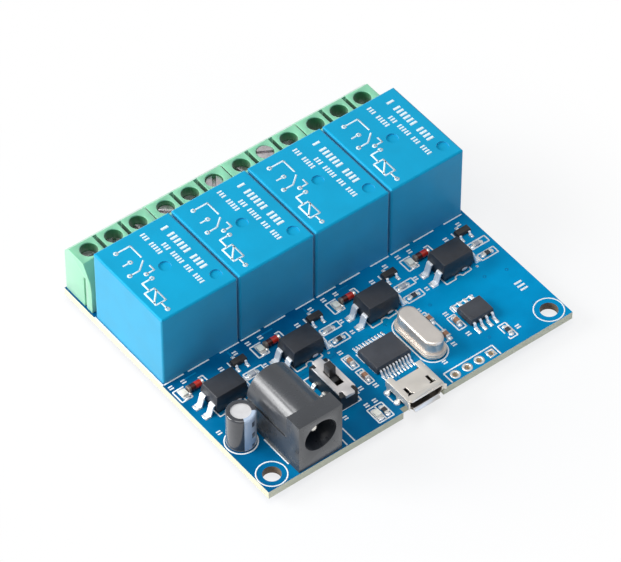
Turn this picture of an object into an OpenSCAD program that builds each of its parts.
// Four-channel relay module board: four sealed relays, four three-pole screw
// terminals, one optocoupler stage per relay, a barrel jack, a slide switch and
// a micro-USB socket on one circuit board.
// Frame: +X along the front edge, +Y from the sockets to the screw terminals,
// +Z up. The origin is under the middle of the module, level with the tips of
// the soldered leads. Inside the placed() block, x runs from the board's left
// edge, y from its front edge and z from its top face.

/* [Board] */
// Thickness of the circuit board
pcb_t = 1.6; // [1:0.1:2.4]
// Distance from one relay channel to the next
channel_pitch = 15.9; // [15.8:0.1:17]
// Bare board beside the end relays
side_margin = 0.4; // [0.2:0.1:3]
// Depth of the low-voltage area in front of the relays
logic_d = 29; // [28.5:0.5:34]
// Bare board behind the screw terminals
rear_margin = 0.2; // [0:0.1:3]
// How far the soldered leads stand out below the board
lead_tail = 1.5; // [1.2:0.1:3]
// Diameter of the two mounting holes
mount_hole_d = 3.2; // [2.2:0.1:3.4]
// Distance of a mounting hole from the front and side edges
mount_inset = 2.8; // [2.4:0.1:3]
// Radial gap between a lead and its plated hole
hole_gap = 0.15; // [0.05:0.05:0.3]
// Width of the solder ring round a lead, on the underside
solder_ring = 0.55; // [0.3:0.05:0.7]
// Height of a solder joint
solder_h = 0.9; // [0.5:0.1:1.2]

/* [Relays] */
// Relay width
relay_w = 15.5; // [14:0.1:15.6]
// Relay length
relay_l = 19; // [18:0.1:21]
// Relay height
relay_h = 15.5; // [12:0.1:20]
// Rounding of the relay cover's edges
relay_edge = 0.4; // [0.2:0.1:1]
// Wall of the relay cover round its base plate
relay_wall = 0.8; // [0.5:0.1:1.2]
// Thickness of the relay's base plate
relay_base_t = 1; // [0.6:0.1:2]
// Gap between the relay's base plate and the circuit board
relay_standoff = 0.3; // [0.1:0.1:0.6]
// Diameter of the two moulding dimples in the cover
dimple_d = 2.2; // [1:0.1:3]
// Depth of the moulding dimples
dimple_depth = 0.3; // [0.1:0.1:0.6]
// Distance from the relay's side to its coil and contact pins
relay_pin_side = 1.75; // [1.6:0.05:3]
// Distance from the relay's front face to its common pin
relay_pin_front = 2.3; // [2:0.1:3]
// Distance from the common pin back to the coil pins
relay_coil_run = 2; // [1.5:0.1:3]
// Distance from the relay's rear face to its contact pins
relay_pin_rear = 2.5; // [2:0.1:4]
// Diameter of a relay pin
relay_pin_d = 0.9; // [0.6:0.1:1.2]
// Play between parts that are pressed or snapped together
snug = 0.05; // [0.02:0.01:0.1]

/* [Screw terminals] */
// Distance from one pole to the next
pole_pitch = 5.08; // [5:0.02:5.15]
// Extra plastic at each end of a terminal block
block_end = 0.2; // [0:0.05:0.2]
// Gap between the relays and the terminal blocks
block_gap = 0.9; // [0.5:0.1:3]
// Depth of a terminal block
block_d = 7.4; // [7:0.1:9]
// Height of a terminal block
block_h = 10.4; // [10:0.1:12]
// Height and depth of the bevel over the wire entries
block_bevel = 1.1; // [0.5:0.1:1.4]
// Depth of the slope on the relay side
slope_d = 2.1; // [1:0.1:2.4]
// Height of the slope on the relay side
slope_h = 3.2; // [2:0.1:4]
// Distance from the wire face to the screw axis
screw_back = 3.2; // [3:0.1:3.5]
// Diameter of a screw shaft's opening in the housing
screw_hole_d = 3.2; // [3:0.1:3.6]
// Radial gap round a screw head
head_gap = 0.1; // [0.05:0.05:0.2]
// Height of a screw head
head_h = 1.5; // [1:0.1:2]
// Width of a screw's driver slot
driver_slot_w = 0.6; // [0.4:0.1:0.8]
// Depth of a screw's driver slot
driver_slot_d = 0.7; // [0.4:0.1:1]
// Diameter of a screw's shank
shank_d = 2.4; // [2:0.1:2.5]
// Radial running gap between the shank and its threaded plate
thread_gap = 0.05; // [0.02:0.01:0.08]
// Width of a wire entry
entry_w = 3.9; // [3.6:0.1:4.1]
// Height of a wire entry
entry_h = 4.4; // [4:0.1:4.8]
// Depth of a wire entry
entry_d = 5.9; // [5.6:0.1:6.2]
// Thickness of the housing under a wire entry
entry_floor = 1; // [0.6:0.1:1.4]
// Thickness of the clamp's bottom and back
clamp_t = 0.5; // [0.3:0.1:0.6]
// Thickness of the clamp's threaded plate
clamp_plate_t = 0.8; // [0.6:0.1:1]
// Diameter of a terminal's solder pin
terminal_pin_d = 1.1; // [0.8:0.1:1.3]
// Length of thread that still holds a screw when its head is level with the block's top
thread_grip = 0.5; // [0.3:0.1:0.6]
// Width of the slots between the poles
pole_slot_w = 0.8; // [0.4:0.1:1]
// Depth of the slots between the poles
pole_slot_d = 2.6; // [1:0.1:3]
// Width of the groove in a block's end faces
end_groove_w = 0.5; // [0.3:0.1:1]
// Depth of the groove in a block's end faces
end_groove_d = 0.35; // [0.2:0.05:0.4]

/* [Optocoupler stages] */
// Distance from the channel's middle line to the optocoupler's middle
opto_x = -1.7; // [-2:0.1:-1.5]
// Distance from the relay's front face to the optocoupler's middle
opto_back = 8.65; // [8.2:0.05:9]
// Size of an optocoupler across its leads
opto_w = 6.5; // [6:0.1:6.7]
// Size of an optocoupler along its lead rows
opto_l = 4.6; // [4.4:0.1:5]
// Height of an optocoupler's body
opto_h = 3.8; // [3:0.1:4]
// Reach of an optocoupler's lead beyond the body
opto_reach = 1.6; // [1.2:0.1:1.7]
// Distance between two leads of an optocoupler
opto_pitch = 2.54; // [2.5:0.02:2.6]

/* [Logic parts] */
// Distance from the left edge to the middle of the USB bridge chip
bridge_x = 32.9; // [32.5:0.1:33.2]
// Distance from the front edge to the middle of the USB bridge chip
bridge_y = 11.5; // [11:0.1:12]
// Length of the USB bridge chip
bridge_l = 7.2; // [6.8:0.1:7.4]
// Width of the USB bridge chip's body
bridge_w = 5.3; // [5:0.1:5.6]
// Leads on each side of the USB bridge chip
bridge_leads = 10; // [8:1:10]
// Distance between two leads of the USB bridge chip
bridge_pitch = 0.65; // [0.6:0.01:0.68]
// Distance from the left edge to the middle of the controller chip
controller_x = 50.8; // [50.5:0.1:51.5]
// Distance from the front edge to the middle of the controller chip
controller_y = 9.6; // [9:0.1:10.5]
// Length of the controller chip
controller_l = 4.9; // [4.6:0.1:5.2]
// Width of the controller chip's body
controller_w = 3.9; // [3.7:0.1:4.2]
// Distance from the left edge to the crystal's middle
crystal_x = 40.1; // [39.8:0.1:40.4]
// Gap between the crystal and the optocoupler behind it
crystal_gap = 1.55; // [1:0.05:2]
// Length of the crystal's flange
crystal_l = 11.2; // [10.6:0.1:11.6]
// Width of the crystal's flange
crystal_w = 4.7; // [4.4:0.1:4.9]
// Step from the crystal's flange to its can
crystal_step = 0.5; // [0.3:0.1:0.6]
// Height of the crystal over the board
crystal_h = 3.6; // [3:0.1:5]
// Distance between the crystal's leads
crystal_pitch = 4.88; // [4.5:0.02:5.2]

/* [Electrolytic capacitor] */
// Distance from the left edge to the capacitor's middle
cap_x = 3.1; // [3:0.1:3.2]
// Distance from the front edge to the capacitor's middle
cap_y = 11.4; // [10:0.1:12]
// Diameter over the capacitor's sleeve
cap_d = 5.1; // [4:0.1:5.4]
// Height of the capacitor
cap_h = 7.6; // [6:0.1:12]
// Thickness of the capacitor's sleeve
sleeve_t = 0.15; // [0.1:0.05:0.3]
// Distance between the capacitor's leads
cap_pitch = 2; // [1.5:0.1:2.5]

/* [Barrel jack] */
// Distance from the left edge to the jack's middle line
jack_x = 10.8; // [10.6:0.1:11.2]
// Distance from the board's front edge to the jack's face
jack_front = 0.2; // [0:0.1:1]
// Width of the jack
jack_w = 8.8; // [8.4:0.1:9]
// Height of the jack's front block
jack_h = 10.9; // [10.8:0.1:11.4]
// Length of the jack
jack_l = 14; // [13:0.1:14.6]
// Length of the jack's front block
jack_block_l = 3.3; // [2.5:0.1:4]
// Height of the jack's axis over the board
jack_axis_h = 6.4; // [6:0.1:6.6]
// Step from the jack's side in to its round barrel
jack_barrel_step = 0.1; // [0.05:0.05:0.3]
// Diameter of the jack's socket
jack_bore_d = 6.4; // [5.5:0.1:6.6]
// Depth of the jack's socket
jack_bore_l = 9.5; // [8:0.1:10]
// Diameter of the jack's centre pin
jack_pin_d = 2; // [1.6:0.1:2.5]
// How far the centre pin's tip lies behind the jack's face
jack_pin_inset = 1.5; // [0.5:0.1:3]
// Diameter of the pin's shank in the jack's rear wall
jack_shank_d = 1.6; // [1.2:0.1:1.8]

/* [Slide switch] */
// Distance from the left edge to the switch's middle
switch_x = 21.6; // [21.5:0.05:21.8]
// Gap between the switch's folded end tab and the optocoupler behind it
switch_gap = 2.75; // [2.4:0.05:3.2]
// Width of the switch's plastic body
switch_w = 3.6; // [3.5:0.1:3.8]
// Length of the switch's plastic body
switch_l = 8.6; // [8.2:0.1:9]
// Height of the switch's plastic body
switch_h = 3.3; // [3:0.1:4]
// Thickness of the switch's metal frame
frame_t = 0.3; // [0.2:0.05:0.4]
// Width of the frame's folded end tabs
frame_tab_w = 1.8; // [1.4:0.1:2]
// Height of the frame's folded end tabs
frame_tab_h = 0.7; // [0.5:0.1:2.4]
// Travel of the switch's lever
switch_travel = 2; // [1.5:0.1:2.2]
// Width of the lever
lever_w = 1.3; // [1:0.1:1.6]
// Length of the lever
lever_l = 1.7; // [1.4:0.1:2]
// Height of the lever over the metal frame
lever_h = 2; // [1.5:0.1:4]
// Gap round the lever and its slider
lever_gap = 0.1; // [0.05:0.05:0.15]
// Width of the slider under the frame
slider_w = 2; // [1.8:0.1:2.4]
// Length of the slider under the frame
slider_l = 3.6; // [3.2:0.1:4]
// Height of the slider under the frame
slider_h = 1.4; // [1:0.1:1.8]

/* [Micro-USB socket] */
// Distance from the left edge to the USB socket's middle
usb_x = 32.1; // [31.8:0.1:32.4]
// Width of the USB socket's shell
usb_w = 7.3; // [7:0.1:7.6]
// Height of the USB socket over the board
usb_h = 2.6; // [2.4:0.1:3]
// How far the USB socket's lips stand out past the board's front edge
usb_overhang = 1.2; // [0.8:0.1:1.6]
// Distance from the front edge to the back of the socket's mouth tube
usb_tube_d = 4.3; // [4:0.1:4.6]
// Distance from the front edge to the back of the socket's side wings
usb_wing_d = 5.6; // [5.5:0.1:5.9]
// Thickness of the socket's sheet metal
usb_t = 0.3; // [0.2:0.05:0.35]
// How far the socket's lips flare outwards
usb_flare = 0.5; // [0.3:0.1:0.6]
// Width of the notch in the board under the socket's mouth
notch_w = 8.5; // [8.2:0.1:9]
// Depth of the notch in the board
notch_d = 1; // [0.5:0.1:1.4]

/* [Header holes] */
// Number of holes in the unused pin header
header_holes = 4; // [2:1:5]
// Distance between the header's holes
header_pitch = 2.54; // [2:0.02:2.54]
// Distance from the left edge to the header's first hole
header_x = 39.8; // [39.6:0.1:40.5]
// Distance from the front edge to the header's holes
header_y = 1.25; // [1.2:0.05:1.6]
// Diameter of a header hole
header_hole_d = 1; // [0.8:0.1:1.2]

/* [Hidden] */
channels = 4;
poles = 3;
// How far each terminal screw is driven down, as a share of its travel
screw_drive = [0.58, 0.58, 0.61, 0.36, 0.64, 0.15, 0.58, 0.03, 0.61, 1, 1, 1];
$fn = 48;
cut = 1; // overshoot of a cutting tool past the face that it opens

board_w = (channels - 1) * channel_pitch + relay_w + 2 * side_margin;
block_y = logic_d + relay_l + block_gap;
board_d = block_y + block_d + rear_margin;
front_y = -(board_d - usb_overhang) / 2;
board_top = lead_tail + pcb_t;
lead_end = -pcb_t - lead_tail;

relay_recess = relay_standoff + relay_base_t;
dimple_inset = [2.2, 2.9]; // corner dimple, from the relay's right side and front
block_w = poles * pole_pitch + 2 * block_end;
rear_face = block_y + block_d;
screw_y = rear_face - screw_back;
clamp_w = entry_w - 2 * snug;
clamp_floor = entry_floor + clamp_t;
clamp_top = entry_floor + entry_h;
plate_z = clamp_top - clamp_plate_t;
head_d = screw_hole_d - 2 * head_gap;
shank_l = block_h - head_h - clamp_top + thread_grip;
// A screw stops before its head meets the clamp or its tip the clamp's floor
screw_travel = min(block_h - head_h - clamp_top - 0.2, clamp_top - thread_grip - clamp_floor - 0.1);

lead_t = 0.25;
lead_shoulder = 0.3; // level run of a lead before it bends down
opto_lift = 0.35;
opto_foot = 0.7;
opto_lead_w = 1.2;
bridge_h = 1.65;
bridge_lift = 0.1;
bridge_reach = 1.25;
bridge_foot = 0.6;
bridge_lead_w = 0.3;
controller_h = 1.45;
controller_lift = 0.15;
controller_pitch = 1.27;
controller_reach = 1.05;
controller_foot = 0.5;
controller_lead_w = 0.42;
chip_draft = 0.12;
transistor_l = 2.9;
transistor_w = 1.3;
transistor_h = 0.95;
transistor_lift = 0.1;
transistor_pitch = 0.95;
transistor_reach = 0.65;
transistor_foot = 0.35;
transistor_lead_w = 0.42;
transistor_lead_t = 0.15;
diode_d = 1.35;
diode_l = 3.1;
chip_part_l = 1.6;
chip_part_w = 0.85;
resistor_h = 0.5;
ceramic_h = 0.85;

usb_back_t = 1.2;
usb_feet = [1.8, 4.4]; // where the side feet start, from the front edge
usb_foot_reach = 0.4;
usb_latch_x = 2.3;
usb_latch_y = 0.5;
usb_latch_w = 0.6;
usb_latch_l = 1.8;
tongue_w = 3.8;
tongue_t = 0.6;
tongue_y = 0.3;
tongue_z = 1.35;
contact_t = 0.2;

switch_y = logic_d - opto_back - opto_l / 2 - switch_gap - frame_t - switch_l / 2;
switch_top = switch_h + frame_t;
switch_pitch = 2.5;
switch_exit = 0.7;
switch_reach = 1;
switch_pin_w = 0.7;
slot_l = lever_l + switch_travel + 2 * lever_gap;
cavity_l = slider_l + switch_travel + 2 * lever_gap;

function channel_x(k) = board_w / 2 + (k - (channels - 1) / 2) * channel_pitch;
function pole_x(i) = channel_x(floor(i / poles)) + (i % poles - (poles - 1) / 2) * pole_pitch;
function numbered(name, count) = [for (i = [1 : count]) str(name, "_", i)];

// Small parts that every channel repeats: offset from the channel's middle
// line, and distance in front of the relay
led_at = [-6.5, 3.85];
diode_at = [-4.15, 3.85];
transistor_at = [4.8, 3.8];
channel_resistors = [[5.15, 7.25], [5.25, 9.95]];

// Small parts of the logic area: distance from the left and front edges
power_led = [24.1, 2.2];
logic_resistors = [[25.6, 2.2], [52.8, 3.4]];
logic_ceramics = [[27.6, 13.9], [27.6, 9.9], [47.2, 10.1], [43.9, 13.2], [43.9, 8.8]];

// A relay's common pin, then its two coil pins and its two contact pins
function relay_pins(k) = let (
    x = channel_x(k),
    side = relay_w / 2 - relay_pin_side,
    coil_y = logic_d + relay_pin_front + relay_coil_run,
    contact_y = logic_d + relay_l - relay_pin_rear
) concat(
    [[x, logic_d + relay_pin_front]],
    [for (y = [coil_y, contact_y], s = [-1, 1]) [x + s * side, y]]
);

jack_barrel_r = jack_w / 2 - jack_barrel_step;
jack_tab_w = 2.4;
jack_tab_t = 0.5;
jack_rear = jack_front + jack_l;
jack_floor = jack_axis_h - jack_bore_d / 2; // height of the socket's lowest line
// Solder tabs of the jack: x, y, height of the blade's end and whether it lies along Y
jack_tabs = [
    [jack_x, jack_rear - 0.6, jack_axis_h + jack_shank_d / 2, false],
    [jack_x, jack_front + jack_bore_l - 1.9, jack_floor + 0.3, false],
    [jack_x + jack_w / 2 - 0.9, jack_rear - 3.6, jack_floor - 0.3, true]
];
cap_lead_d = 0.5;
cap_base_z = 0.3;
bung_h = 0.9;
rim_r = 0.35;
sleeve_fold = 0.8; // how far the shrunk rim reaches in over the can's top
can_wall = 0.35;
can_r = cap_d / 2 - sleeve_t - snug;
crystal_y = logic_d - opto_back - opto_l / 2 - crystal_gap - crystal_l / 2;
crystal_lead_d = 0.45;
crystal_base_z = 0.4;
crystal_base_t = 0.35;

// Every round lead that passes through the board: x, y and diameter
round_leads = concat(
    [for (k = [0 : channels - 1], p = relay_pins(k)) [p[0], p[1], relay_pin_d]],
    [for (i = [0 : channels * poles - 1]) [pole_x(i), screw_y, terminal_pin_d]],
    [for (s = [-1, 1]) [cap_x, cap_y + s * cap_pitch / 2, cap_lead_d]],
    [for (s = [-1, 1]) [crystal_x, crystal_y + s * crystal_pitch / 2, crystal_lead_d]]
);

// ---------------------------------------------------------------- helpers

module placed() {
    translate([-board_w / 2, front_y, board_top]) children();
}

// A flat outline in Y and Z, as [y, z] points, drawn out along X
module along_x(length) {
    rotate([90, 0, 90]) linear_extrude(length) children();
}

// A flat outline in X and Z, drawn out from y = 0 towards +Y
module along_y(length) {
    translate([0, length, 0]) rotate([90, 0, 0]) linear_extrude(length) children();
}

// A round bar along +Y from the origin
module bar_y(d, length) {
    rotate([-90, 0, 0]) cylinder(d = d, h = length);
}

module rounded_rect(w, l, r) {
    translate([r, 0]) square([w - 2 * r, l]);
    translate([0, r]) square([w, l - 2 * r]);
    for (x = [r, w - r], y = [r, l - r]) translate([x, y]) circle(r);
}

module round_topped(w, h, r) {
    square([w, h - r]);
    translate([r, 0]) square([w - 2 * r, h]);
    for (x = [r, w - r]) translate([x, h - r]) circle(r);
}

// A block whose upright and top edges are all rounded
module rounded_block(w, l, h, r) {
    intersection() {
        linear_extrude(h) rounded_rect(w, l, r);
        along_y(l) round_topped(w, h, r);
        along_x(w) round_topped(l, h, r);
    }
}

// A moulded chip body centred on x and y, widest at its parting line
module chip_body(w, l, h, lift, draft) {
    module section(size) {
        polygon([
            [-size / 2 + draft, lift], [size / 2 - draft, lift],
            [size / 2, lift + h / 2],
            [size / 2 - draft, lift + h], [-size / 2 + draft, lift + h],
            [-size / 2, lift + h / 2]
        ]);
    }
    intersection() {
        translate([0, -l / 2, 0]) along_y(l) section(w);
        translate([-w / 2, 0, 0]) along_x(w) section(l);
    }
}

function arc(centre, r, from, to) = let (steps = 4)
    [for (i = [0 : steps]) let (a = from + (to - from) * i / steps) centre + r * [cos(a), sin(a)]];

// One bent lead, from a body's side at x = 0 out along +X and down to the board
module gull_lead(exit_h, reach, foot, width, t = lead_t) {
    bend = 1.2 * t; // radius of both bends, along the middle of the strip
    shoulder = min(lead_shoulder, (reach - foot) / 2);
    knee = reach - foot;
    slope = atan2(exit_h - t / 2, knee - shoulder);
    run_in = bend * tan(slope / 2);
    upper = [shoulder - run_in, exit_h - bend];
    lower = [knee + run_in, t / 2 + bend];
    translate([0, -width / 2, 0]) along_y(width) polygon(concat(
        [[0, exit_h + t / 2]],
        arc(upper, bend + t / 2, 90, 90 - slope),
        arc(lower, bend - t / 2, 270 - slope, 270),
        [[reach, t], [reach, 0]],
        arc(lower, bend + t / 2, 270, 270 - slope),
        arc(upper, bend - t / 2, 90 - slope, 90),
        [[0, exit_h - t / 2]]
    ));
}

// Rows of leads on both sides of a body of width w, the rows running along Y
module lead_rows(count, pitch, w, exit_h, reach, foot, width) {
    for (side = [0, 1], i = [0 : count - 1]) {
        mirror([side, 0, 0])
            translate([w / 2, (i - (count - 1) / 2) * pitch, 0])
            gull_lead(exit_h, reach, foot, width);
    }
}

// A solid of revolution pulled apart along Y: the children are half a section
module oblong(length) {
    for (s = [0, 1]) {
        mirror([0, s, 0]) translate([0, length / 2, 0]) rotate_extrude(angle = 180) children();
    }
    translate([0, -length / 2, 0]) along_y(length) {
        children();
        mirror([1, 0]) children();
    }
}

module at_channel(k, place) {
    translate([channel_x(k) + place[0], logic_d - place[1], 0]) children();
}

// A two-ended chip part along Y: a body with slightly proud metal ends
module chip_part(w, h) {
    end_l = chip_part_l * 0.22;
    proud = 0.03;
    translate([-w / 2 + proud, -chip_part_l / 2 + end_l, proud])
        cube([w - 2 * proud, chip_part_l - 2 * end_l, h - 2 * proud]);
    for (y = [-chip_part_l / 2, chip_part_l / 2 - end_l]) {
        translate([-w / 2, y, 0]) cube([w, end_l, h]);
    }
}

// ---------------------------------------------------------------- board

// The flat outline of a jack tab, widened on every side
module tab_outline(tab, grow = 0) {
    translate([tab[0], tab[1], 0]) rotate([0, 0, tab[3] ? 90 : 0])
        translate([-jack_tab_w / 2 - grow, -jack_tab_t / 2 - grow])
        square([jack_tab_w + 2 * grow, jack_tab_t + 2 * grow]);
}

module jack_tab(tab) {
    translate([0, 0, lead_end]) linear_extrude(tab[2] - lead_end) tab_outline(tab);
}

module circuit_board() {
    color([0.0, 0.36, 0.62]) difference() {
        translate([0, 0, -pcb_t]) cube([board_w, board_d, pcb_t]);
        translate([0, 0, -pcb_t - cut]) {
            translate([usb_x - notch_w / 2, -cut, 0]) cube([notch_w, notch_d + cut, pcb_t + 2 * cut]);
            for (x = [mount_inset, board_w - mount_inset]) {
                translate([x, mount_inset, 0]) cylinder(d = mount_hole_d, h = pcb_t + 2 * cut);
            }
            for (i = [0 : header_holes - 1]) {
                translate([header_x + i * header_pitch, header_y, 0])
                    cylinder(d = header_hole_d, h = pcb_t + 2 * cut);
            }
            for (lead = round_leads) {
                translate([lead[0], lead[1], 0])
                    cylinder(d = lead[2] + 2 * hole_gap, h = pcb_t + 2 * cut);
            }
            linear_extrude(pcb_t + 2 * cut) for (tab = jack_tabs) tab_outline(tab, hole_gap);
        }
    }
}

// Solder fillets round every lead on the underside
module solder_joints() {
    color([0.8, 0.8, 0.78]) translate([0, 0, -pcb_t - solder_h]) {
        for (lead = round_leads) {
            translate([lead[0], lead[1], 0]) difference() {
                cylinder(d1 = lead[2] + 0.2, d2 = lead[2] + 2 * solder_ring, h = solder_h);
                translate([0, 0, -cut]) cylinder(d = lead[2], h = solder_h + 2 * cut);
            }
        }
        for (tab = jack_tabs) {
            linear_extrude(solder_h) difference() {
                tab_outline(tab, solder_ring);
                tab_outline(tab);
            }
        }
    }
}

// ---------------------------------------------------------------- relays

module relay_cover(k) {
    x = channel_x(k) - relay_w / 2;
    color([0.0, 0.55, 0.85]) translate([x, logic_d, 0]) difference() {
        rounded_block(relay_w, relay_l, relay_h, relay_edge);
        translate([relay_wall, relay_wall, -cut])
            cube([relay_w - 2 * relay_wall, relay_l - 2 * relay_wall, relay_recess + cut]);
        // one dimple in the middle of the top, one near its front right corner
        for (p = [[relay_w / 2, relay_l / 2], [relay_w - dimple_inset[0], dimple_inset[1]]]) {
            translate([p[0], p[1], relay_h - dimple_depth])
                cylinder(d = dimple_d, h = dimple_depth + cut);
        }
    }
}

module relay_bases() {
    inset = relay_wall + snug;
    color([0.0, 0.42, 0.7]) for (k = [0 : channels - 1]) difference() {
        translate([channel_x(k) - relay_w / 2 + inset, logic_d + inset, relay_standoff])
            cube([relay_w - 2 * inset, relay_l - 2 * inset, relay_base_t]);
        for (p = relay_pins(k)) {
            translate([p[0], p[1], 0]) cylinder(d = relay_pin_d + 2 * snug, h = relay_recess + cut);
        }
    }
}

module relay_pin_set() {
    color([0.8, 0.8, 0.78]) for (k = [0 : channels - 1], p = relay_pins(k)) {
        translate([p[0], p[1], lead_end]) cylinder(d = relay_pin_d, h = relay_recess - lead_end);
    }
}

// ---------------------------------------------------------------- screw terminals

// Outline of a terminal housing in Y and Z, from its relay side to its wire face
module housing_outline() {
    polygon([
        [0, 0], [block_d, 0], [block_d, block_h - block_bevel],
        [block_d - block_bevel, block_h], [slope_d, block_h],
        [0.3, block_h - slope_h], [0, block_h - slope_h - 2.2]
    ]);
}

module terminal_housing(k) {
    left = channel_x(k) - block_w / 2;
    groove_y = 1.6;
    color([0.5, 0.82, 0.62]) difference() {
        translate([left, block_y, 0]) along_x(block_w) housing_outline();
        for (i = [k * poles : (k + 1) * poles - 1]) translate([pole_x(i), 0, 0]) {
            // wire entry, with a bevelled mouth
            translate([-entry_w / 2, rear_face - entry_d, entry_floor])
                cube([entry_w, entry_d + cut, entry_h]);
            translate([0, screw_y, entry_floor + entry_h - cut])
                cylinder(d = screw_hole_d, h = block_h);
            translate([0, screw_y, -cut])
                cylinder(d = terminal_pin_d + 2 * snug, h = entry_floor + 2 * cut);
        }
        for (i = [1 : poles - 1]) {
            x = left + block_end + i * pole_pitch;
            translate([x - pole_slot_w / 2, block_y - cut, block_h - pole_slot_d])
                cube([pole_slot_w, block_d - block_bevel + cut, pole_slot_d + cut]);
        }
        for (x = [left - cut, left + block_w - end_groove_d]) {
            translate([x, block_y + groove_y, -cut])
                cube([end_groove_d + cut, end_groove_w, block_h - slope_h + cut]);
        }
    }
}

// One bent clamp for each pole: a floor with its solder pin, a back and a threaded plate
module terminal_clamps(k) {
    length = entry_d - snug - 0.4;
    start = rear_face - entry_d + snug;
    color([0.82, 0.8, 0.72]) for (i = [k * poles : (k + 1) * poles - 1]) {
        translate([pole_x(i), 0, 0]) difference() {
            union() {
                translate([-clamp_w / 2, start, 0]) along_x(clamp_w) polygon([
                    [0, entry_floor], [length, entry_floor], [length, clamp_floor],
                    [clamp_t, clamp_floor], [clamp_t, plate_z],
                    [length, plate_z], [length, clamp_top], [0, clamp_top]
                ]);
                translate([0, screw_y, lead_end])
                    cylinder(d = terminal_pin_d, h = entry_floor + snug - lead_end);
            }
            translate([0, screw_y, clamp_floor + cut])
                cylinder(d = shank_d + 2 * thread_gap, h = entry_h);
        }
    }
}

module terminal_screw(i) {
    top = block_h - screw_drive[i] * screw_travel;
    turn = (i * 47) % 180;
    color([0.78, 0.78, 0.8]) translate([pole_x(i), screw_y, top]) difference() {
        union() {
            translate([0, 0, -head_h]) cylinder(d = head_d, h = head_h);
            translate([0, 0, -head_h - shank_l]) cylinder(d = shank_d, h = shank_l + head_h / 2);
        }
        rotate([0, 0, turn]) translate([-head_d, -driver_slot_w / 2, -driver_slot_d])
            cube([2 * head_d, driver_slot_w, driver_slot_d + cut]);
    }
}

// ---------------------------------------------------------------- barrel jack

module jack_housing() {
    groove = 0.25;
    foot_rim = 1;
    foot_relief = 0.4;
    color([0.17, 0.18, 0.2]) translate([jack_x, jack_front, 0]) difference() {
        union() {
            translate([-jack_w / 2, 0, 0]) cube([jack_w, jack_block_l, jack_h]);
            translate([-jack_w / 2, 0, 0]) cube([jack_w, jack_l, jack_axis_h - 0.6]);
            translate([0, 0, jack_axis_h]) bar_y(2 * jack_barrel_r, jack_l);
            translate([-jack_barrel_r, 0, jack_axis_h - 1]) cube([2 * jack_barrel_r, jack_l, 1]);
        }
        // socket, with the rear wall left to hold the centre pin
        translate([0, -cut, jack_axis_h]) bar_y(jack_bore_d, jack_bore_l + cut);
        translate([0, jack_bore_l - cut, jack_axis_h]) bar_y(jack_shank_d + 2 * snug, jack_l);
        // side grooves where the round barrel meets the square foot
        for (s = [-1, 1]) {
            translate([s * jack_w / 2 - groove, jack_block_l + 0.6, jack_axis_h - 0.6 - groove])
                cube([2 * groove, jack_l, 2 * groove]);
        }
        // relief under the foot
        translate([-jack_w / 2 + foot_rim, jack_block_l, -cut])
            cube([jack_w - 2 * foot_rim, jack_l - jack_block_l - foot_rim, foot_relief + cut]);
        // passages for the solder tabs; the rear one is open to the back
        translate([-jack_x, -jack_front, -cut]) {
            for (tab = jack_tabs) linear_extrude(tab[2] + snug + cut) tab_outline(tab, snug);
            translate([0, 1, 0]) linear_extrude(jack_tabs[0][2] + snug + cut) tab_outline(jack_tabs[0], snug);
        }
    }
}

// A round-nosed pin on a thinner shank that is riveted to its solder tab
module jack_centre_pin() {
    nose_y = jack_front + jack_pin_inset + jack_pin_d / 2;
    shoulder_y = jack_front + jack_bore_l - 0.3;
    color([0.85, 0.83, 0.78]) {
        translate([jack_x, nose_y, jack_axis_h]) {
            sphere(d = jack_pin_d);
            bar_y(jack_pin_d, shoulder_y - nose_y);
            bar_y(jack_shank_d, jack_tabs[0][1] - nose_y);
        }
        jack_tab(jack_tabs[0]);
    }
}

// The sleeve contact under the socket and the switched contact beside it
module jack_springs() {
    color([0.8, 0.78, 0.7]) for (i = [1, 2]) jack_tab(jack_tabs[i]);
}

// ---------------------------------------------------------------- slide switch

module switch_body() {
    color([0.1, 0.1, 0.11]) translate([switch_x, switch_y, 0]) difference() {
        translate([-switch_w / 2, -switch_l / 2, 0]) cube([switch_w, switch_l, switch_h]);
        translate([-slider_w / 2 - lever_gap, -cavity_l / 2, switch_h - slider_h - lever_gap])
            cube([slider_w + 2 * lever_gap, cavity_l, slider_h + lever_gap + cut]);
    }
}

// A slotted sheet-metal plate with a notch at each side of its folded end tabs
module switch_frame() {
    edge = 0.05;
    bare_end = 0.7;
    notch_r = 0.35;
    plate_l = switch_l - 2 * bare_end;
    color([0.78, 0.77, 0.75]) translate([switch_x, switch_y, 0]) {
        translate([0, 0, switch_h]) linear_extrude(frame_t) difference() {
            union() {
                square([switch_w - 2 * edge, plate_l], center = true);
                square([frame_tab_w, switch_l + 2 * frame_t], center = true);
            }
            square([lever_w + 2 * lever_gap, slot_l], center = true);
            for (x = [-1, 1], y = [-1, 1])
                translate([x * (frame_tab_w / 2 + notch_r), y * plate_l / 2]) circle(notch_r);
        }
        for (s = [0, 1]) mirror([0, s, 0]) {
            translate([-frame_tab_w / 2, switch_l / 2, switch_top - frame_tab_h])
                cube([frame_tab_w, frame_t, frame_tab_h]);
        }
    }
}

module switch_lever() {
    color([0.08, 0.08, 0.09]) translate([switch_x, switch_y + switch_travel / 2, 0]) {
        translate([-lever_w / 2, -lever_l / 2, switch_h - lever_gap - slider_h / 2])
            cube([lever_w, lever_l, slider_h / 2 + lever_gap + frame_t + lever_h]);
        translate([-slider_w / 2, -slider_l / 2, switch_h - slider_h])
            cube([slider_w, slider_l, slider_h - lever_gap]);
    }
}

module switch_pins() {
    color([0.8, 0.8, 0.78]) translate([switch_x, switch_y, 0])
        lead_rows(3, switch_pitch, switch_w, switch_exit, switch_reach, switch_reach / 2, switch_pin_w);
}

// ---------------------------------------------------------------- micro-USB socket

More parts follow.
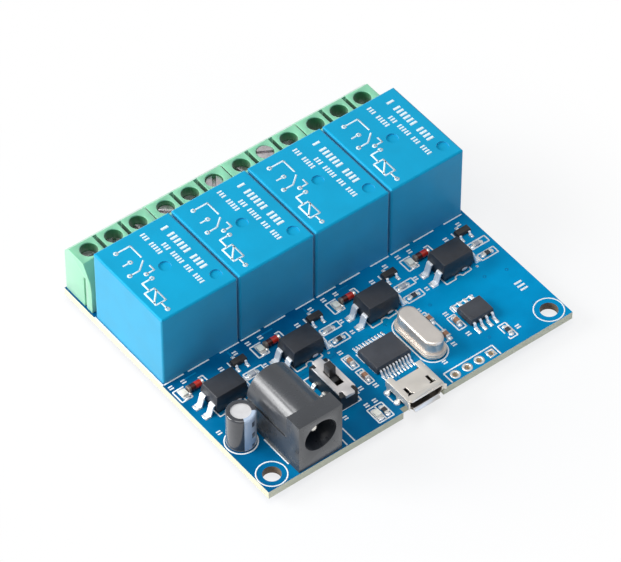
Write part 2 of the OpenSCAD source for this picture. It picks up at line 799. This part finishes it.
// Outline of the socket in X and Z, its lower corners drawn in
module usb_outline(inset) {
    half = usb_w / 2 - inset;
    low = 0.1 + inset;
    polygon([
        [-half, low + 1], [-half + 0.9, low], [half - 0.9, low], [half, low + 1],
        [half, usb_h - inset], [-half, usb_h - inset]
    ]);
}

// A flared lip, in Y and Z, that bends out of the socket's mouth
module lip_outline() {
    polygon([
        [0, 0], [-usb_overhang / 2, usb_flare], [-usb_overhang / 2 + 0.2, usb_flare + 0.15], [0.3, usb_t]
    ]);
}

module usb_shell() {
    mouth_y = -usb_overhang / 2;
    color([0.82, 0.8, 0.77]) translate([usb_x, 0, 0]) difference() {
        union() {
            difference() {
                translate([0, mouth_y, 0]) along_y(usb_wing_d - mouth_y) usb_outline(0);
                translate([0, mouth_y - cut, 0]) along_y(usb_wing_d - mouth_y + 2 * cut) usb_outline(usb_t);
                // behind the tube only the side walls and the wings over them stay
                translate([-usb_w / 2 + 1.2, usb_tube_d, -cut])
                    cube([usb_w - 2.4, usb_wing_d, usb_h + 2 * cut]);
            }
            translate([-usb_w / 2 + 0.3, mouth_y, usb_h - usb_t]) along_x(usb_w - 0.6) lip_outline();
            translate([0, mouth_y, 0.1 + usb_t]) mirror([0, 0, 1])
                translate([-usb_w / 2 + 1, 0, 0]) along_x(usb_w - 2) lip_outline();
            for (s = [0, 1]) mirror([s, 0, 0]) {
                translate([usb_w / 2 - usb_t, mouth_y, 1.2]) linear_extrude(usb_h - 1.5)
                    mirror([1, 0]) rotate(90) lip_outline();
                // solder feet bent out from the side wall
                for (y = usb_feet) {
                    translate([usb_w / 2 - usb_t, y, 0.02]) cube([usb_t + usb_foot_reach, 0.9, 0.2]);
                    translate([usb_w / 2 - usb_t, y, 0.02]) cube([usb_t, 0.9, 1.6]);
                }
            }
        }
        // T-shaped latch windows in the top
        for (s = [-1, 1]) translate([s * usb_latch_x, usb_latch_y, usb_h - usb_t - 0.1]) {
            translate([-usb_latch_w / 2, 0, 0]) cube([usb_latch_w, usb_latch_l, 1]);
            translate([-usb_latch_w, 0, 0]) cube([2 * usb_latch_w, usb_latch_w / 2, 1]);
        }
    }
}

// Plastic insulator: a rear wall that fills the tube and a tongue towards the mouth
module usb_tongue() {
    color([0.12, 0.12, 0.13]) translate([usb_x, 0, 0]) {
        translate([0, usb_tube_d - usb_back_t, 0]) along_y(usb_back_t) usb_outline(usb_t + snug);
        translate([-tongue_w / 2, tongue_y, tongue_z])
            cube([tongue_w, usb_tube_d - usb_back_t - tongue_y, tongue_t]);
    }
}

module usb_contacts() {
    pitch = 0.65;
    width = 0.3;
    tip_y = 0.6;
    color([0.85, 0.7, 0.35]) for (i = [-2 : 2]) translate([usb_x + i * pitch - width / 2, 0, 0]) {
        // blade under the tongue
        translate([0, tip_y, tongue_z - contact_t])
            cube([width, usb_tube_d - usb_back_t - tip_y, contact_t]);
        // tail behind the insulator, bent down to its foot
        translate([0, usb_tube_d, 0]) along_x(width) polygon([
            [0, 0.6], [0.3, 0.6], [0.5, contact_t], [0.9, contact_t],
            [0.9, 0], [0.35, 0], [0.15, 0.4], [0, 0.4]
        ]);
    }
}

// ---------------------------------------------------------------- crystal and capacitor

// Half of the can's section: a low flange and a wall that rounds into the top
module can_section() {
    flange_t = 0.3;
    corner = 0.5;
    half = crystal_w / 2 - crystal_step;
    height = crystal_h - crystal_base_z - crystal_base_t;
    square([crystal_w / 2 - 0.1, flange_t]);
    square([half, height - corner]);
    square([half - corner, height]);
    intersection() {
        translate([half - corner, height - corner]) circle(corner);
        square([half, height]);
    }
}

module crystal_can() {
    color([0.83, 0.81, 0.77]) translate([crystal_x, crystal_y, crystal_base_z + crystal_base_t])
        oblong(crystal_l - crystal_w) can_section();
}

module crystal_base() {
    color([0.75, 0.73, 0.68]) translate([crystal_x, crystal_y, 0]) {
        translate([0, 0, crystal_base_z]) oblong(crystal_l - crystal_w)
            square([crystal_w / 2, crystal_base_t]);
        for (s = [-1, 1]) {
            translate([0, s * crystal_pitch / 2, lead_end])
                cylinder(d = crystal_lead_d, h = crystal_base_z + snug - lead_end);
        }
    }
}

// A thin film tube whose shrunk rim folds over the top of the can
module capacitor_sleeve() {
    height = cap_h - cap_base_z;
    r = cap_d / 2;
    color([0.16, 0.17, 0.2]) translate([cap_x, cap_y, cap_base_z]) rotate_extrude() {
        translate([r - sleeve_t, 0]) square([sleeve_t, height - rim_r]);
        translate([r - rim_r, height - rim_r]) intersection() {
            difference() {
                circle(rim_r);
                circle(rim_r - sleeve_t);
            }
            square(rim_r);
        }
        translate([r - sleeve_fold, height - sleeve_t]) square([sleeve_fold - rim_r, sleeve_t]);
    }
}

// A drawn can with a rounded shoulder, rolled in round its bung
module capacitor_can() {
    height = cap_h - cap_base_z - sleeve_t - snug;
    shoulder = rim_r - sleeve_t;
    color([0.83, 0.83, 0.84]) translate([cap_x, cap_y, cap_base_z]) rotate_extrude() {
        translate([0, bung_h]) square([can_r, height - shoulder - bung_h]);
        translate([0, bung_h]) square([can_r - shoulder, height - bung_h]);
        translate([can_r - shoulder, height - shoulder]) intersection() {
            circle(shoulder);
            square(shoulder);
        }
        translate([can_r - can_wall, 0]) square([can_wall, bung_h]);
    }
}

module capacitor_bung() {
    color([0.12, 0.12, 0.12]) translate([cap_x, cap_y, cap_base_z]) difference() {
        cylinder(r = can_r - can_wall - snug, h = bung_h);
        for (s = [-1, 1]) {
            translate([0, s * cap_pitch / 2, -cut]) cylinder(d = cap_lead_d + 2 * snug, h = bung_h + 2 * cut);
        }
    }
}

module capacitor_leads() {
    color([0.8, 0.8, 0.78]) for (s = [-1, 1]) {
        translate([cap_x, cap_y + s * cap_pitch / 2, lead_end])
            cylinder(d = cap_lead_d, h = cap_base_z + bung_h - lead_end);
    }
}

// ---------------------------------------------------------------- chips and small parts

module optocoupler(k) {
    color([0.15, 0.15, 0.17]) at_channel(k, [opto_x, opto_back])
        chip_body(opto_w, opto_l, opto_h, opto_lift, 0.25);
}

module optocoupler_lead_set() {
    color([0.88, 0.88, 0.88]) for (k = [0 : channels - 1]) at_channel(k, [opto_x, opto_back])
        lead_rows(2, opto_pitch, opto_w, opto_lift + opto_h / 2, opto_reach, opto_foot, opto_lead_w);
}

module bridge_chip() {
    color([0.2, 0.21, 0.23]) translate([bridge_x, bridge_y, 0])
        chip_body(bridge_l, bridge_w, bridge_h, bridge_lift, chip_draft);
}

module bridge_lead_set() {
    exit_h = bridge_lift + bridge_h / 2;
    color([0.85, 0.85, 0.85]) translate([bridge_x, bridge_y, 0]) rotate([0, 0, 90])
        lead_rows(bridge_leads, bridge_pitch, bridge_w, exit_h, bridge_reach, bridge_foot, bridge_lead_w);
}

module controller_chip() {
    color([0.15, 0.15, 0.17]) translate([controller_x, controller_y, 0])
        chip_body(controller_l, controller_w, controller_h, controller_lift, chip_draft);
}

module controller_lead_set() {
    exit_h = controller_lift + controller_h / 2;
    color([0.85, 0.85, 0.85]) translate([controller_x, controller_y, 0]) rotate([0, 0, 90])
        lead_rows(4, controller_pitch, controller_w, exit_h, controller_reach, controller_foot,
            controller_lead_w);
}

module transistors() {
    color([0.14, 0.13, 0.13]) for (k = [0 : channels - 1]) at_channel(k, transistor_at)
        chip_body(transistor_l, transistor_w, transistor_h, transistor_lift, chip_draft);
}

module transistor_leads() {
    exit_h = transistor_lift + transistor_h / 2;
    color([0.85, 0.85, 0.85]) for (k = [0 : channels - 1]) at_channel(k, transistor_at) {
        // two leads in front, one behind
        for (place = [[-transistor_pitch, -1], [transistor_pitch, -1], [0, 1]]) {
            translate([place[0], place[1] * transistor_w / 2, 0]) rotate([0, 0, 90 * place[1]])
                gull_lead(exit_h, transistor_reach, transistor_foot, transistor_lead_w, transistor_lead_t);
        }
    }
}

module diodes() {
    cap_l = 0.45;
    color([0.75, 0.25, 0.15]) for (k = [0 : channels - 1]) at_channel(k, diode_at)
        translate([0, 0, diode_d / 2]) rotate([0, 90, 0]) {
            cylinder(d = diode_d - 0.1, h = diode_l - 2 * cap_l, center = true);
            for (s = [0, 1]) mirror([0, 0, s])
                translate([0, 0, diode_l / 2 - cap_l]) cylinder(d = diode_d, h = cap_l);
        }
}

module indicator_leds() {
    spots = concat(
        [for (k = [0 : channels - 1]) [channel_x(k) + led_at[0], logic_d - led_at[1]]],
        [power_led]
    );
    color([0.95, 0.93, 0.8]) for (p = spots) translate([p[0], p[1], 0]) {
        translate([-0.625, -1, 0]) cube([1.25, 2, 0.35]);
        translate([-0.6, -0.65, 0.35]) cube([1.2, 1.3, 0.4]);
    }
}

module resistors() {
    color([0.1, 0.1, 0.1]) {
        for (k = [0 : channels - 1], p = channel_resistors) at_channel(k, p) rotate([0, 0, 90])
            chip_part(chip_part_w, resistor_h);
        for (p = logic_resistors) translate([p[0], p[1], 0]) chip_part(chip_part_w, resistor_h);
    }
}

module ceramic_capacitors() {
    color([0.72, 0.55, 0.42]) for (p = logic_ceramics) translate([p[0], p[1], 0])
        chip_part(chip_part_w, ceramic_h);
}

// ---------------------------------------------------------------- nodes

placed() {
    circuit_board();
    for (k = [0 : channels - 1]) {
        relay_cover(k);
        terminal_housing(k);
        terminal_clamps(k);
        optocoupler(k);
    }
    for (i = [0 : channels * poles - 1]) {
        terminal_screw(i);
    }
    relay_bases();
    relay_pin_set();  // relay_pins
    jack_housing();
    jack_centre_pin();
    jack_springs();
    switch_body();
    switch_frame();
    switch_lever();
    switch_pins();
    usb_shell();
    usb_tongue();
    usb_contacts();
    crystal_can();
    crystal_base();
    capacitor_sleeve();
    capacitor_can();
    capacitor_bung();
    capacitor_leads();
    optocoupler_lead_set();  // optocoupler_leads
    bridge_chip();
    bridge_lead_set();  // bridge_leads
    controller_chip();
    controller_lead_set();  // controller_leads
    transistors();
    transistor_leads();
    diodes();
    indicator_leds();
    resistors();
    ceramic_capacitors();
    solder_joints();
}
